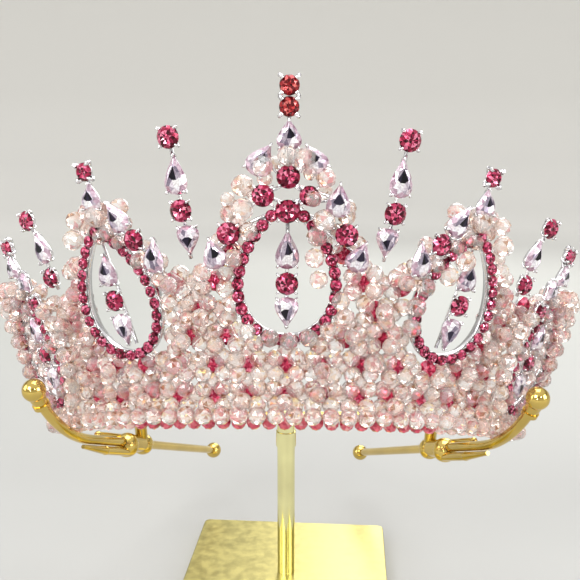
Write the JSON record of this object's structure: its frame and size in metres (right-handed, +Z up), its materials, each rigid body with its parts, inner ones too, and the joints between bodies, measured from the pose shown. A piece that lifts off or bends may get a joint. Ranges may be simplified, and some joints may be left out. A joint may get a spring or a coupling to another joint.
{
  "type": "bridal crown on display stand",
  "caption": "Tall open-backed bridal crown of wired crystal beads and rhinestones with pear windows, tilted back on a gold display stand with two curved arms and a square foot.",
  "frame": {"origin": "centre of the foot plate's underside, on the post's axis", "axes": "+Z up along the post, +X to the right seen from the front, the crown's front faces -Y"},
  "size_m": [0.1685, 0.1236, 0.1645],
  "materials": {
    "satin_gold": "satin gold plate over steel",
    "polished_gold": "polished gold plate",
    "silver": "bright silver wire and cups paved with small deep pink stones",
    "pale_pink_crystal": "faceted translucent beads",
    "deep_pink_crystal": "faceted beads with deep pink undersides",
    "deep_pink_stone": "foiled rhinestone in a silver claw cup",
    "lilac_stone": "foiled pear rhinestones in silver cups, wired one above another"
  },
  "bodies": {
    "root": {"arm_left": "polished_gold", "arm_right": "polished_gold", "bead_wall_centre": "pale_pink_crystal", "bead_wall_mid_left": "pale_pink_crystal", "bead_wall_mid_right": "pale_pink_crystal", "bead_wall_side_left": "pale_pink_crystal", "bead_wall_side_right": "pale_pink_crystal", "clamp_left": "polished_gold", "clamp_right": "polished_gold", "crest_pear": "lilac_stone", "crest_pear_left": "lilac_stone", "crest_pear_outer": "lilac_stone", "crest_pear_right": "lilac_stone", "crest_stone_left": "deep_pink_stone", "crest_stone_lower": "deep_pink_stone", "crest_stone_right": "deep_pink_stone", "crest_stone_top": "deep_pink_stone", "crest_stone_under": "deep_pink_stone", "crest_stone_upper": "deep_pink_stone", "cross_bar": "polished_gold", "drop_centre": "lilac_stone", "drop_mid_left": "lilac_stone", "drop_mid_right": "lilac_stone", "drop_side_left": "lilac_stone", "drop_side_right": "lilac_stone", "edge_beads": "deep_pink_crystal", "foot_plate": "satin_gold", "frame_centre": "silver", "frame_mid_left": "silver", "frame_mid_right": "silver", "frame_side_left": "silver", "frame_side_right": "silver", "mid_pear_inner_left": "lilac_stone", "mid_pear_inner_right": "lilac_stone", "mid_pear_left": "lilac_stone", "mid_pear_right": "lilac_stone", "mid_pear_tilted_left": "lilac_stone", "mid_pear_tilted_right": "lilac_stone", "mid_stone_lower_left": "deep_pink_stone", "mid_stone_lower_right": "deep_pink_stone", "mid_stone_top_left": "deep_pink_stone", "mid_stone_top_right": "deep_pink_stone", "post": "polished_gold", "shoulder_pear_left": "lilac_stone", "shoulder_pear_right": "lilac_stone", "shoulder_stone_left": "deep_pink_stone", "shoulder_stone_right": "deep_pink_stone", "side_pear_left": "lilac_stone", "side_pear_lower_left": "lilac_stone", "side_pear_lower_right": "lilac_stone", "side_pear_right": "lilac_stone", "side_stone_lower_left": "deep_pink_stone", "side_stone_lower_right": "deep_pink_stone", "side_stone_top_left": "deep_pink_stone", "side_stone_top_right": "deep_pink_stone", "spike_inner_left": "lilac_stone", "spike_inner_right": "lilac_stone", "spike_outer_left": "lilac_stone", "spike_outer_right": "lilac_stone"}
  },
  "joints": []
}
